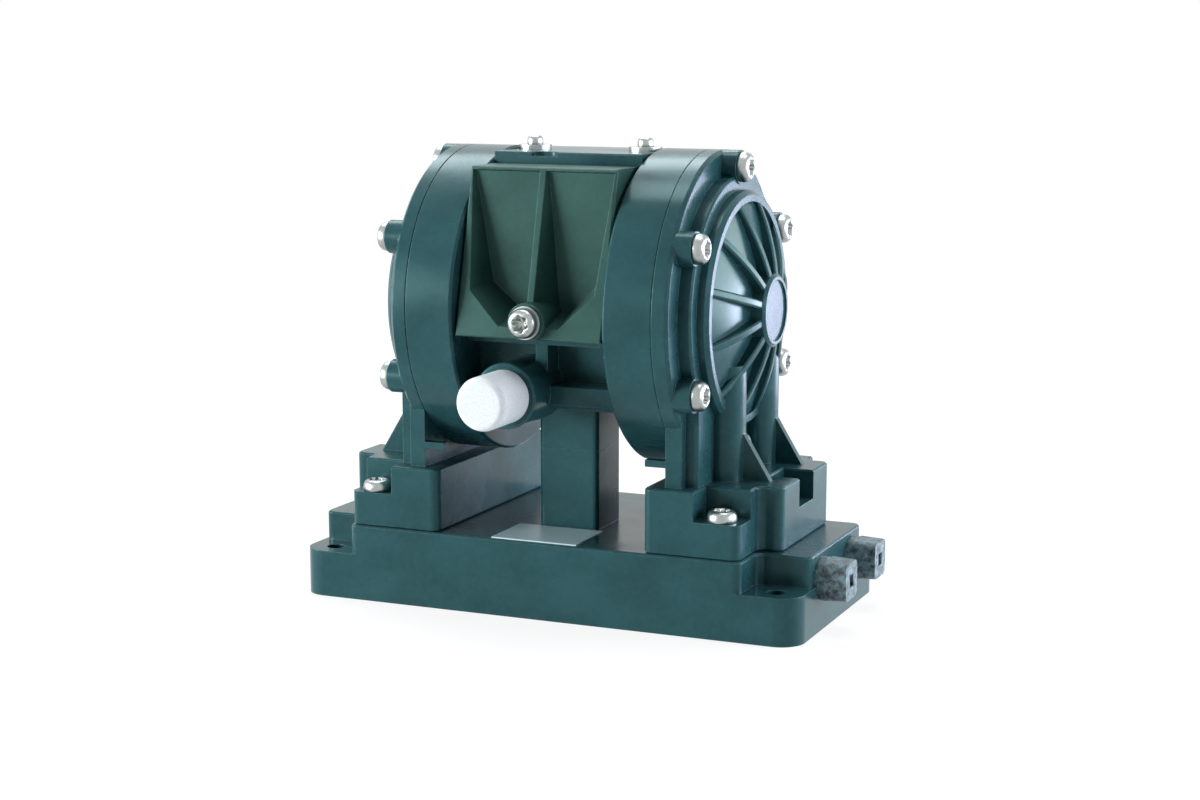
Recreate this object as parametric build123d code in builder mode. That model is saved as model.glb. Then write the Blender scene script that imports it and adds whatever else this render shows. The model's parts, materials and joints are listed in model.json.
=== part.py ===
from build123d import *
import os
from math import cos, radians, sin, sqrt

# Air operated double diaphragm pump, in millimetres.
# X is the pump axis, -Y the front with the air valve and the silencer, +Z is up.
# The origin is the middle of the underside of the base manifold.
# The right side is drawn, and the left side is its mirror image.

# Base manifold
base_length = 193.2
base_width = 93.6
base_corner = 9.0
ledge_height = 17.0
deck_height = 28.0
deck_length = 152.0
port_block_width = 60.0
port_block_setback = 1.0
mould_radius = 3.0
edge_break = 0.6
mount_hole_radius = 3.3
mount_inset_x = 10.3
mount_inset_y = 8.4

# Fluid ways: one along the front for the inlet, one along the rear for the outlet
duct_offset = 17.5
duct_height = 18.3
duct_radius = 4.5
port_radius = 5.72
port_depth = 14.0
column_x = 59.6
column_offset = 17.5
column_radius = 7.2
bore_radius = 3.6

# Pump axis and the stack along it
axis_height = 108.8
housing_half = 28.5
band_width = 18.1
cover_radius = 56.0
flange_thickness = 5.9
drum_radius = 47.0
drum_step = 5.0
ring_radius = 42.0
ring_width = 4.0
ring_step = 4.2
dome_apex = 20.6
dome_edge = 13.4
hub_radius = 13.0
hub_step = 25.4
rib_count = 12
rib_width = 3.0
rib_rise = 0.6
rib_set_back = 0.4
rib_overlap = 1.0
flange_break = 1.2
drum_break = 0.8
ring_break = 1.5
hub_break = 1.0
hub_rim = 2.2
hub_recess = 0.8
wall = 4.6

# Cover screws
cover_screw_count = 6
cover_screw_circle = 50.0
screw_radius = 2.5
screw_head_radius = 5.3
screw_head_height = 4.0
head_round_share = 0.5
socket_depth_share = 0.6
socket_radius_share = 0.42
lobe_radius_share = 0.14
boss_radius = 6.0
boss_step = 11.4
screw_clearance = 0.15
insert_depth = 12.0

# Feet of the fluid covers
foot_inset = 0.8
foot_inner_x = 39.8
foot_outer_x = 84.0
foot_top = 50.9
tongue_width = 52.8
foot_screw_inset_x = 9.0
foot_screw_inset_y = 6.3
pocket_length = 17.5
pocket_width = 12.8
pocket_floor = 40.5
notch_width = 16.0
notch_depth = 11.4
foot_screw_grip = 14.0
skirt_half_width = 42.0
skirt_step = 3.6
skirt_top = 84.0
gusset_thickness = 3.0
gusset_reach = 11.0
gusset_height = 18.0
ledge_strip_width = 7.6
ledge_strip_height = 2.4
ledge_strip_rise = 6.8

# Check valves in the feet
cavity_radius = 7.5
seat_height = 4.0
seat_bore = 3.4
ball_radius = 4.76
ball_lift = 3.0
stop_gap = 0.3
stop_height = 2.5
stop_width = 2.0
fit_gap = 0.02
seal_section = 0.9
seal_radius = 9.3
retainer_height = 1.5
wire_radius = 0.25
coil_radius = 2.9
coil_turns = 4

# Air chambers, diaphragms and rod
chamber_radius = 41.0
chamber_floor_radius = 36.0
clamp_radius = 45.3
diaphragm_thickness = 2.4
convolution = 2.6
plate_radius = 20.0
inner_plate_thickness = 4.0
outer_plate_thickness = 6.0
plate_nose = 1.5
rod_radius = 6.0
stud_radius = 4.0
stroke = 6.0
plate_clearance = 1.4
rod_clearance = 0.5
plate_round = 1.0
wave_margin_inside = 1.5
wave_margin_outside = 0.5
bush_radius = 9.0
bush_length = 10.0
shaft_seal_length = 3.0
running_fit = 0.03
chamber_screw_count = 3
chamber_screw_circle = 26.0
chamber_screw_radius = 2.0
chamber_screw_grip = 12.0

# Centre housing
housing_top = 163.6
housing_rear = 44.0
housing_bottom = 74.0
housing_chamfer = 22.0
valve_face = 20.0
valve_ledge = 101.0
valve_ledge_thickness = 3.0
recess_face = 33.0
shelf_face = 45.0
shelf_bottom = 77.0
shelf_top = 84.5
front_rib_width = 4.6
front_rib_face = 42.0
leg_width = 23.0
leg_front = 20.0
leg_rear = 2.0
leg_corner = 2.0
leg_seam = 57.0
inlet_height = 138.0
inlet_boss_radius = 10.0
inlet_boss_length = 3.0
top_notch_x = -9.0
top_notch_length = 10.0
top_notch_width = 3.5
top_notch_depth = 1.5

# Air valve
valve_half_length = 27.8
valve_top = 159.4
valve_foot_face = 54.5
valve_top_face = 40.0
gasket_thickness = 1.0
gasket_margin = 2.0
pocket_face = 38.6
pocket_draft = 18.0
pocket_top_half = 26.4
pocket_base_half = 20.0
pocket_tip_half = 9.5
pocket_top = 157.8
pocket_shoulder_rise = 18.0
pocket_tip_rise = 9.0
web_top_half = 1.7
web_tip_half = 5.6
valve_screw_rise = 6.3
valve_gap = 0.2
valve_boss_radius = 6.8
valve_boss_face = 55.2
washer_radius = 5.8
washer_thickness = 1.0
spool_offset = 29.6
spool_height = 140.0
sleeve_radius = 7.0
spool_radius = 5.0
spool_travel = 4.0
spool_end_gap = 1.8
end_cap_length = 4.0
groove_depth = 1.4

# Silencer, top screws, plugs and rating plate
silencer_x = -7.0
silencer_height = 81.6
silencer_radius = 9.4
silencer_length = 19.5
silencer_boss_radius = 11.6
silencer_boss_face = 57.8
spigot_length = 10.0
top_screw_x = 21.7
top_screw_radius = 1.6
top_head_radius = 2.9
top_head_height = 3.2
top_washer_radius = 6.0
top_washer_thickness = 1.6
plug_flats = 14.0
plug_length = 11.0
plug_collar_radius = 7.6
plug_collar_length = 2.6
plug_draft = 3.0
plug_socket = 4.4
plug_socket_depth = 3.0
plate_length = 33.0
plate_width = 24.0
plate_x = -2.0
plate_y = -33.5
plate_thickness = 0.4

# Stations along the pump axis, from the middle outwards
parting = housing_half + band_width
flange_face = parting + flange_thickness
drum_face = flange_face + drum_step
ring_face = drum_face + ring_step
hub_face = parting + hub_step
boss_face = parting + boss_step
web_half = diaphragm_thickness / 2
inner_plate_face = parting - web_half - inner_plate_thickness
outer_plate_face = parting + web_half + outer_plate_thickness
chamber_floor = inner_plate_face - stroke - plate_clearance
floor_thickness = chamber_floor - housing_half
valve_screw_height = valve_ledge + valve_screw_rise
pocket_tip = valve_ledge + pocket_tip_rise
pocket_shoulder = valve_ledge + pocket_shoulder_rise
spool_half_length = valve_half_length - end_cap_length - spool_travel - spool_end_gap
foot_height = foot_top - deck_height
front = -1
rear = 1
axis_line = Axis((0, 0, axis_height), (1, 0, 0))


def across(x):
    # A sketch plane square to the pump axis, centred on it
    return Plane(origin=(x, 0, axis_height), x_dir=(0, 1, 0), z_dir=(1, 0, 0))


def finish(builder, label):
    # Labels a finished piece and writes its file
    builder.part.label = label
    export_step(builder.part, f"parts/{label}.step")


def finish_pair(right, name):
    # Writes a right-hand piece and its mirror image
    finish(right, f"{name}_right")
    with BuildPart() as left:
        mirror(right.part, about=Plane.YZ)
    finish(left, f"{name}_left")


def cap_x(apex, edge, radius, r):
    # X of a spherical cap at distance r from the axis, rising from its edge to its apex
    rise = apex - edge
    sphere = (radius * radius + rise * rise) / (2 * rise)
    return apex - sphere + sqrt(sphere * sphere - r * r)


def dome_x(r):
    # Outside of the dome between the ribs
    return cap_x(parting + dome_apex, parting + dome_edge, ring_radius - ring_width, r)


def chamber_x(r):
    # Inside of the dome
    return dome_x(r) - wall


def on_axis(x, r):
    # A point of a profile drawn in the plane through the pump axis
    return (x, axis_height + r)


def pan_screw(seat, places, head_radius, head_height, shank_radius, grip):
    # Pan head screws with a six-lobed recess, standing on a plane at the given places
    with BuildPart() as screws:
        for place in places:
            spot = Plane(seat.from_local_coords(place), x_dir=seat.x_dir, z_dir=seat.z_dir)
            with BuildSketch(spot):
                Circle(head_radius)
            extrude(amount=head_height)
            with BuildSketch(spot):
                Circle(shank_radius)
            extrude(amount=-grip)
        rims = screws.edges().filter_by(GeomType.CIRCLE)
        rims = rims.filter_by(lambda e: abs(seat.to_local_coords(e.arc_center).Z - head_height) < 0.01)
        fillet(rims, head_height * head_round_share)
        for place in places:
            spot = Plane(seat.from_local_coords(place), x_dir=seat.x_dir, z_dir=seat.z_dir)
            with BuildSketch(spot.offset(head_height)):
                Circle(head_radius * socket_radius_share)
                with PolarLocations(head_radius * socket_radius_share, 6):
                    Circle(head_radius * lobe_radius_share)
            extrude(amount=-head_height * socket_depth_share, mode=Mode.SUBTRACT)
    return screws


os.makedirs("parts", exist_ok=True)

# Base manifold: low plate, raised deck, port blocks, two long ducts and their risers
foot_screw_places = [
    (deck_length / 2 - foot_screw_inset_x, base_width / 2 - foot_screw_inset_y),
    (deck_length / 2 - foot_screw_inset_x, foot_screw_inset_y - base_width / 2),
]
riser_places = [(side * column_x, row * column_offset) for side in (1, -1) for row in (front, rear)]
with BuildPart() as base_manifold:
    with BuildSketch():
        RectangleRounded(base_length, base_width, base_corner)
    extrude(amount=ledge_height)
    with BuildSketch(Plane.XY.offset(ledge_height)):
        Rectangle(deck_length, base_width)
        Rectangle(base_length - 2 * port_block_setback, port_block_width)
    extrude(amount=deck_height - ledge_height)
    uprights = base_manifold.edges().filter_by(Axis.Z)
    step = deck_height - ledge_height
    fillet(uprights.filter_by(lambda e: abs(e.length - step) < 0.01), mould_radius)
    chamfer(base_manifold.faces().sort_by(Axis.Z)[-1].edges(), edge_break)
    with BuildSketch(Plane.XY.offset(deck_height)):
        with Locations((0, (leg_rear - leg_front) / 2)):
            RectangleRounded(leg_width, leg_front + leg_rear, leg_corner)
    extrude(amount=leg_seam - deck_height)
    with BuildSketch(Plane.YZ):
        with Locations((front * duct_offset, duct_height), (rear * duct_offset, duct_height)):
            Circle(duct_radius)
    extrude(amount=base_length / 2, both=True, mode=Mode.SUBTRACT)
    for side in (1, -1):
        end = Plane.YZ.offset(side * (base_length / 2 - port_block_setback - port_depth))
        with BuildSketch(end):
            with Locations((front * duct_offset, duct_height), (rear * duct_offset, duct_height)):
                Circle(port_radius)
        extrude(amount=side * port_depth, mode=Mode.SUBTRACT)
        with BuildSketch(Plane.YZ.offset(side * (base_length / 2 - port_block_setback))):
            with Locations((front * duct_offset, duct_height), (rear * duct_offset, duct_height)):
                Circle(plug_collar_radius + screw_clearance)
        extrude(amount=side * port_block_setback, mode=Mode.SUBTRACT)
    with BuildSketch(Plane.XY.offset(deck_height)):
        with Locations(*riser_places):
            Circle(bore_radius)
    extrude(amount=duct_height - deck_height, mode=Mode.SUBTRACT)
    with BuildSketch():
        with GridLocations(base_length - 2 * mount_inset_x, base_width - 2 * mount_inset_y, 2, 2):
            Circle(mount_hole_radius)
    extrude(amount=ledge_height, mode=Mode.SUBTRACT)
    with BuildSketch(Plane.XY.offset(deck_height)):
        for x, y in foot_screw_places:
            with Locations((x, y), (-x, y)):
                Circle(screw_radius + screw_clearance)
    extrude(amount=-foot_screw_grip - screw_clearance, mode=Mode.SUBTRACT)
finish(base_manifold, "base_manifold")

# One rib of the dome, from the ring up to the hub, with its crown's edges broken
rib_foot = ring_radius - ring_width + rib_overlap
rib_head = hub_radius - rib_overlap
rib_middle = (rib_foot + rib_head) / 2
with BuildPart() as cover_rib:
    with BuildSketch(Plane.XZ):
        with BuildLine():
            ThreePointArc(
                on_axis(ring_face - rib_set_back, rib_foot),
                on_axis((ring_face + hub_face) / 2 + rib_rise, rib_middle),
                on_axis(hub_face - hub_break, rib_head),
            )
            Polyline(
                on_axis(hub_face - hub_break, rib_head),
                on_axis(dome_x(rib_head) - rib_overlap, rib_head),
                on_axis(dome_x(rib_middle) - rib_overlap, rib_middle),
                on_axis(dome_x(rib_foot - rib_overlap) - rib_overlap, rib_foot),
                on_axis(ring_face - rib_set_back, rib_foot),
            )
        make_face()
    extrude(amount=rib_width / 2, both=True)
    chamfer(cover_rib.edges().filter_by(GeomType.CIRCLE), edge_break)

# Fluid cover: foot, skirt, flange, drum, ribbed dome, screw bosses, columns and gussets
foot_end = deck_length / 2 - foot_inset
with BuildPart() as fluid_cover:
    with BuildSketch(Plane.XY.offset(deck_height)):
        with Locations((foot_inner_x, 0)):
            foot_width = base_width - 2 * foot_inset
            Rectangle(foot_end - foot_inner_x, foot_width, align=(Align.MIN, Align.CENTER))
            Rectangle(foot_outer_x - foot_inner_x, tongue_width, align=(Align.MIN, Align.CENTER))
    extrude(amount=foot_height)
    fillet(fluid_cover.edges().filter_by(Axis.Z), mould_radius)
    # Pockets for the hold-down screws, open to the outside
    with BuildSketch(Plane.XY.offset(pocket_floor)):
        for row in (front, rear):
            with Locations((deck_length / 2 - pocket_length / 2, row * (base_width - pocket_width) / 2)):
                Rectangle(pocket_length, pocket_width)
        with Locations((foot_outer_x - notch_depth / 2, 0)):
            Rectangle(notch_depth, notch_width)
    extrude(amount=foot_top - pocket_floor, mode=Mode.SUBTRACT)
    chamfer(fluid_cover.faces().sort_by(Axis.Z)[-1].edges(), edge_break)
    chamfer(fluid_cover.faces().sort_by(Axis.Z)[0].edges(), edge_break)
    # Skirt that carries the flange down to the foot, in two steps
    with BuildSketch(Plane.YZ.offset(parting)):
        with Locations((0, foot_top)):
            Rectangle(2 * skirt_half_width, skirt_top - foot_top, align=(Align.CENTER, Align.MIN))
    extrude(amount=flange_thickness)
    with BuildSketch(Plane.YZ.offset(parting)):
        with Locations((0, foot_top)):
            half = skirt_half_width - skirt_step
            Rectangle(2 * half, skirt_top - foot_top, align=(Align.CENTER, Align.MIN))
    extrude(amount=flange_thickness + drum_step)
    for row in (front, rear):
        with BuildSketch(Plane.YZ.offset(parting)):
            with Locations((row * (skirt_half_width - skirt_step / 2), foot_top + ledge_strip_rise)):
                Rectangle(skirt_step, ledge_strip_height, align=(Align.CENTER, Align.MIN))
        extrude(amount=-ledge_strip_width)
    # Flange, drum, raised ring, dome and hub in one turned profile
    ring_inner = ring_radius - ring_width
    with BuildSketch(Plane.XZ):
        with BuildLine():
            Polyline(
                on_axis(dome_x(hub_radius), hub_radius),
                on_axis(hub_face - hub_break, hub_radius),
                on_axis(hub_face, hub_radius - hub_break),
                on_axis(hub_face, hub_radius - hub_rim),
                on_axis(hub_face - hub_recess, hub_radius - hub_rim),
                on_axis(hub_face - hub_recess, 0),
                on_axis(parting, 0),
                on_axis(parting, cover_radius),
                on_axis(flange_face - flange_break, cover_radius),
                on_axis(flange_face, cover_radius - flange_break),
                on_axis(flange_face, drum_radius),
                on_axis(drum_face - drum_break, drum_radius),
                on_axis(drum_face, drum_radius - drum_break),
                on_axis(drum_face, ring_radius),
                on_axis(ring_face - ring_break, ring_radius),
                on_axis(ring_face, ring_radius - ring_break),
                on_axis(ring_face, ring_inner),
                on_axis(dome_x(ring_inner), ring_inner),
            )
            ThreePointArc(
                on_axis(dome_x(ring_inner), ring_inner),
                on_axis(dome_x((ring_inner + hub_radius) / 2), (ring_inner + hub_radius) / 2),
                on_axis(dome_x(hub_radius), hub_radius),
            )
        make_face()
    revolve(axis=axis_line)
    # Ribs from the ring to the hub
    for k in range(rib_count):
        add(cover_rib.part.rotate(axis_line, (k + 0.5) * 360 / rib_count))
    # Screw bosses
    with BuildSketch(across(parting)):
        with PolarLocations(cover_screw_circle, cover_screw_count, 180 / cover_screw_count):
            Circle(boss_radius)
    extrude(amount=boss_step)
    # Fluid columns and their gussets
    column_top = axis_height - column_offset
    with BuildSketch(Plane.XY.offset(foot_top)):
        with Locations((column_x, front * column_offset), (column_x, rear * column_offset)):
            Circle(column_radius)
    extrude(amount=column_top - foot_top)
    column_face = column_x + column_radius - rib_overlap
    for row in (front, rear):
        with BuildSketch(Plane.XZ.offset(-row * column_offset)):
            Polygon(
                (column_x, foot_top),
                (column_face + gusset_reach, foot_top),
                (column_face, foot_top + gusset_height),
                (column_x, foot_top + gusset_height),
                align=None,
            )
        extrude(amount=gusset_thickness / 2, both=True)
    # Fluid chamber with the seat for the diaphragm's clamped edge
    with BuildSketch(Plane.XZ):
        with BuildLine():
            chamber_edge = ring_inner
            Polyline(
                on_axis(chamber_x(0), 0),
                on_axis(parting, 0),
                on_axis(parting, clamp_radius),
                on_axis(parting + web_half, clamp_radius),
                on_axis(parting + web_half, chamber_radius),
                on_axis(chamber_x(chamber_edge), chamber_edge),
            )
            ThreePointArc(
                on_axis(chamber_x(chamber_edge), chamber_edge),
                on_axis(chamber_x(chamber_edge / 2), chamber_edge / 2),
                on_axis(chamber_x(0), 0),
            )
        make_face()
    revolve(axis=axis_line, mode=Mode.SUBTRACT)
    with BuildSketch(across(parting)):
        with PolarLocations(cover_screw_circle, cover_screw_count, 180 / cover_screw_count):
            Circle(screw_radius + screw_clearance)
    extrude(amount=boss_step, mode=Mode.SUBTRACT)
    # Check valve cavities: front inlet with stop bars above, rear outlet with its seat above
    inlet_stop = deck_height + seat_height + sqrt(ball_radius**2 - seat_bore**2) + ball_radius + ball_lift
    inlet_stop = inlet_stop + stop_gap
    with BuildSketch(Plane.XY.offset(deck_height)):
        with Locations((column_x, front * column_offset)):
            Circle(cavity_radius)
    extrude(amount=inlet_stop - deck_height, mode=Mode.SUBTRACT)
    with BuildSketch(Plane.XY.offset(inlet_stop)):
        with Locations((column_x, front * column_offset)):
            Circle(cavity_radius - 1)
            Rectangle(stop_width, 2 * cavity_radius, mode=Mode.SUBTRACT)
            Rectangle(2 * cavity_radius, stop_width, mode=Mode.SUBTRACT)
    extrude(amount=stop_height, mode=Mode.SUBTRACT)
    outlet_seat_top = inlet_stop + stop_height
    with BuildSketch(Plane.XY.offset(deck_height)):
        with Locations((column_x, rear * column_offset)):
            Circle(cavity_radius)
    extrude(amount=outlet_seat_top - deck_height, mode=Mode.SUBTRACT)
    with BuildSketch(Plane.XY.offset(outlet_seat_top)):
        with Locations((column_x, front * column_offset), (column_x, rear * column_offset)):
            Circle(bore_radius)
    extrude(amount=column_top - column_radius / 2 - outlet_seat_top, mode=Mode.SUBTRACT)
    # Grooves for the port seals, and the hold-down screw holes
    with BuildSketch(Plane.XY.offset(deck_height)):
        with Locations((column_x, front * column_offset), (column_x, rear * column_offset)):
            Circle(seal_radius + seal_section + fit_gap)
            Circle(seal_radius - seal_section - fit_gap, mode=Mode.SUBTRACT)
    extrude(amount=2 * seal_section + fit_gap, mode=Mode.SUBTRACT)
    with BuildSketch(Plane.XY.offset(deck_height)):
        with Locations(*foot_screw_places):
            Circle(screw_radius + screw_clearance)
    extrude(amount=pocket_floor - deck_height, mode=Mode.SUBTRACT)
finish_pair(fluid_cover, "fluid_cover")

# Air cover: a cup between the centre housing and the fluid cover
with BuildPart() as air_cover:
    with BuildSketch(Plane.XZ):
        with BuildLine():
            Polyline(
                on_axis(housing_half, rod_radius + rod_clearance),
                on_axis(housing_half, cover_radius - drum_break),
                on_axis(housing_half + drum_break, cover_radius),
                on_axis(parting - rib_set_back, cover_radius),
                on_axis(parting, cover_radius - rib_set_back),
                on_axis(parting, clamp_radius),
                on_axis(parting - web_half, clamp_radius),
                on_axis(parting - web_half, chamber_radius),
                on_axis(chamber_floor, chamber_floor_radius),
                on_axis(chamber_floor, rod_radius + rod_clearance),
                close=True,
            )
        make_face()
    revolve(axis=axis_line)
    with BuildSketch(across(parting)):
        with PolarLocations(cover_screw_circle, cover_screw_count, 180 / cover_screw_count):
            Circle(screw_radius + screw_clearance)
    extrude(amount=-insert_depth, mode=Mode.SUBTRACT)
    with Locations(across(chamber_floor)):
        with PolarLocations(chamber_screw_circle, chamber_screw_count):
            CounterSinkHole(chamber_screw_radius + screw_clearance, 2 * chamber_screw_radius, floor_thickness)
finish_pair(air_cover, "air_cover")

# Centre housing between the two air covers
with BuildPart() as centre_housing:
    with BuildSketch(Plane.YZ):
        Polygon(
            (-valve_face, housing_top),
            (housing_rear - housing_chamfer, housing_top),
            (housing_rear, housing_top - housing_chamfer),
            (housing_rear, housing_bottom + housing_chamfer / 2),
            (housing_rear - housing_chamfer / 2, housing_bottom),
            (-recess_face, housing_bottom),
            (-recess_face, shelf_bottom),
            (-shelf_face, shelf_bottom),
            (-shelf_face, shelf_top),
            (-recess_face, shelf_top),
            (-recess_face, valve_ledge - valve_ledge_thickness),
            (-front_rib_face, valve_ledge - valve_ledge_thickness),
            (-front_rib_face, valve_ledge),
            (-valve_face, valve_ledge),
            align=None,
        )
    extrude(amount=housing_half, both=True)
    along = centre_housing.edges().filter_by(Axis.X)
    chamfer(along.filter_by(lambda e: e.center().Y < -front_rib_face or e.center().Z > valve_top), edge_break)
    with BuildSketch(Plane.YZ):
        with Locations((-recess_face, shelf_top)):
            Rectangle(
                front_rib_face - recess_face, valve_ledge - shelf_top, align=(Align.MAX, Align.MIN)
            )
    extrude(amount=front_rib_width / 2, both=True)
    # Leg down to the pedestal of the base
    with BuildSketch(Plane.XY.offset(leg_seam)):
        with Locations((0, (leg_rear - leg_front) / 2)):
            RectangleRounded(leg_width, leg_front + leg_rear, leg_corner)
    extrude(amount=housing_bottom - leg_seam)
    # Silencer boss in front, air inlet boss behind
    with BuildSketch(Plane.XZ.offset(recess_face)):
        with Locations((silencer_x, silencer_height)):
            Circle(silencer_boss_radius)
    extrude(amount=silencer_boss_face - recess_face)
    chamfer(centre_housing.faces().sort_by(Axis.Y)[0].edges(), edge_break)
    with BuildSketch(Plane.XZ.offset(-housing_rear + housing_chamfer)):
        with Locations((0, inlet_height)):
            Circle(inlet_boss_radius)
    extrude(amount=-housing_chamfer - inlet_boss_length)
    # Way for the rod, its bushes and seals
    with BuildSketch(across(0)):
        Circle(rod_radius + rod_clearance)
    extrude(amount=housing_half, both=True, mode=Mode.SUBTRACT)
    for side in (1, -1):
        with BuildSketch(across(side * (housing_half - bush_length - shaft_seal_length))):
            Circle(bush_radius + fit_gap)
        extrude(amount=side * (bush_length + shaft_seal_length), mode=Mode.SUBTRACT)
        with BuildSketch(across(side * (housing_half - chamber_screw_grip))):
            with PolarLocations(chamber_screw_circle, chamber_screw_count):
                Circle(chamber_screw_radius + screw_clearance)
        extrude(amount=side * chamber_screw_grip, mode=Mode.SUBTRACT)
    # Air inlet and exhaust ports, the valve screw and the top screws
    with BuildSketch(Plane.XZ.offset(-housing_rear - inlet_boss_length)):
        with Locations((0, inlet_height)):
            Circle(port_radius)
    extrude(amount=port_depth, mode=Mode.SUBTRACT)
    with BuildSketch(Plane.XZ.offset(silencer_boss_face)):
        with Locations((silencer_x, silencer_height)):
            Circle(port_radius)
    extrude(amount=-port_depth, mode=Mode.SUBTRACT)
    with BuildSketch(Plane.XZ.offset(recess_face - valve_face)):
        with Locations((0, valve_screw_height)):
            Circle(screw_radius + screw_clearance)
    extrude(amount=2 * valve_face - recess_face, mode=Mode.SUBTRACT)
    with BuildSketch(Plane.XY.offset(housing_top)):
        with Locations((top_screw_x, 0), (-top_screw_x, 0)):
            Circle(top_screw_radius + screw_clearance)
    extrude(amount=-chamber_screw_grip, mode=Mode.SUBTRACT)
    with BuildSketch(Plane.XY.offset(housing_top)):
        with Locations((top_notch_x, -valve_face)):
            SlotOverall(top_notch_length, 2 * top_notch_width)
    extrude(amount=-top_notch_depth, mode=Mode.SUBTRACT)
finish(centre_housing, "centre_housing")

# Air valve body: a wedge with a drafted, webbed pocket in its front face
valve_base = valve_ledge + valve_gap
valve_back = valve_face + gasket_thickness
with BuildPart() as valve_body:
    with BuildSketch(Plane.YZ):
        Polygon(
            (-valve_back, valve_top),
            (-valve_top_face, valve_top),
            (-valve_foot_face, valve_base),
            (-valve_back, valve_base),
            align=None,
        )
    extrude(amount=valve_half_length, both=True)
    chamfer(valve_body.faces().filter_by(Axis.Y, reverse=True).sort_by(Axis.Y)[0].edges(), edge_break)
    for side in (1, -1):
        with BuildSketch(Plane.XZ.offset(pocket_face)):
            Polygon(
                (side * web_top_half, pocket_top),
                (side * pocket_top_half, pocket_top),
                (side * pocket_base_half, pocket_shoulder),
                (side * pocket_tip_half, pocket_tip),
                (side * web_tip_half, pocket_tip),
                align=None,
            )
        extrude(amount=valve_foot_face - pocket_face, taper=-pocket_draft, mode=Mode.SUBTRACT)
    with BuildSketch(Plane.XZ.offset(valve_back)):
        with Locations((0, valve_screw_height)):
            Circle(valve_boss_radius)
    extrude(amount=valve_boss_face - valve_back)
    with BuildSketch(Plane.XY.offset(valve_base)):
        Rectangle(4 * valve_boss_radius, 4 * valve_boss_face)
    extrude(amount=-valve_boss_radius, mode=Mode.SUBTRACT)
    with BuildSketch(Plane.XZ.offset(valve_back)):
        with Locations((0, valve_screw_height)):
            Circle(screw_radius + screw_clearance)
    extrude(amount=valve_boss_face - valve_back, mode=Mode.SUBTRACT)
    with BuildSketch(Plane.YZ):
        with Locations((-spool_offset, spool_height)):
            Circle(sleeve_radius + fit_gap)
    extrude(amount=valve_half_length, both=True, mode=Mode.SUBTRACT)
finish(valve_body, "valve_body")

with BuildPart() as valve_gasket:
    gasket_height = valve_top - valve_base - 2 * gasket_margin
    with BuildSketch(Plane.XZ.offset(valve_face)):
        with Locations((0, (valve_top + valve_base) / 2)):
            Rectangle(2 * (valve_half_length - gasket_margin), gasket_height)
        with Locations((0, valve_screw_height)):
            Circle(screw_radius + screw_clearance, mode=Mode.SUBTRACT)
    extrude(amount=gasket_thickness)
finish(valve_gasket, "valve_gasket")

# Sleeve, spool and end caps of the air valve
with BuildPart() as valve_sleeve:
    with BuildSketch(Plane.YZ):
        with Locations((-spool_offset, spool_height)):
            Circle(sleeve_radius)
            Circle(spool_radius + running_fit, mode=Mode.SUBTRACT)
    extrude(amount=valve_half_length - end_cap_length, both=True)
finish(valve_sleeve, "valve_sleeve")

with BuildPart() as valve_spool:
    with BuildSketch(Plane.YZ):
        with Locations((-spool_offset, spool_height)):
            Circle(spool_radius)
    extrude(amount=spool_half_length, both=True)
    for x in (-spool_half_length / 2, spool_half_length / 2):
        with BuildSketch(Plane.YZ.offset(x)):
            with Locations((-spool_offset, spool_height)):
                Circle(spool_radius)
                Circle(spool_radius - groove_depth, mode=Mode.SUBTRACT)
        extrude(amount=spool_half_length / 5, both=True, mode=Mode.SUBTRACT)
finish(valve_spool, "valve_spool")

with BuildPart() as valve_end_caps:
    for side in (1, -1):
        with BuildSketch(Plane.YZ.offset(side * (valve_half_length - end_cap_length))):
            with Locations((-spool_offset, spool_height)):
                Circle(sleeve_radius)
        extrude(amount=side * end_cap_length)
finish(valve_end_caps, "valve_end_caps")

# Valve screw and its washer
with BuildPart() as valve_washer:
    with BuildSketch(Plane.XZ.offset(valve_boss_face)):
        with Locations((0, valve_screw_height)):
            Circle(washer_radius)
            Circle(screw_radius + screw_clearance, mode=Mode.SUBTRACT)
    extrude(amount=washer_thickness)
finish(valve_washer, "valve_washer")

valve_screw_seat = valve_boss_face + washer_thickness
valve_screw = pan_screw(
    Plane.XZ.offset(valve_screw_seat),
    [(0, valve_screw_height)],
    screw_head_radius,
    screw_head_height,
    screw_radius,
    valve_screw_seat - recess_face / 2,
)
finish(valve_screw, "valve_screw")

# Top screws on their washers
with BuildPart() as top_washers:
    with BuildSketch(Plane.XY.offset(housing_top)):
        with Locations((top_screw_x, 0), (-top_screw_x, 0)):
            Circle(top_washer_radius)
            Circle(top_screw_radius + screw_clearance, mode=Mode.SUBTRACT)
    extrude(amount=top_washer_thickness)
finish(top_washers, "top_washers")

top_screws = pan_screw(
    Plane.XY.offset(housing_top + top_washer_thickness),
    [(top_screw_x, 0), (-top_screw_x, 0)],
    top_head_radius,
    top_head_height,
    top_screw_radius,
    chamber_screw_grip,
)
finish(top_screws, "top_screws")

# Cover screws, hold-down screws and the screws inside the air chambers
ring_angles = [radians((k + 0.5) * 360 / cover_screw_count) for k in range(cover_screw_count)]
cover_screw_places = [(cover_screw_circle * cos(a), cover_screw_circle * sin(a)) for a in ring_angles]
cover_screws = pan_screw(
    across(boss_face),
    cover_screw_places,
    screw_head_radius,
    screw_head_height,
    screw_radius,
    boss_step + insert_depth - screw_clearance,
)
finish_pair(cover_screws, "cover_screws")

foot_screws = pan_screw(
    Plane.XY.offset(pocket_floor),
    foot_screw_places,
    screw_head_radius,
    screw_head_height,
    screw_radius,
    pocket_floor - deck_height + foot_screw_grip,
)
finish_pair(foot_screws, "foot_screws")

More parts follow.
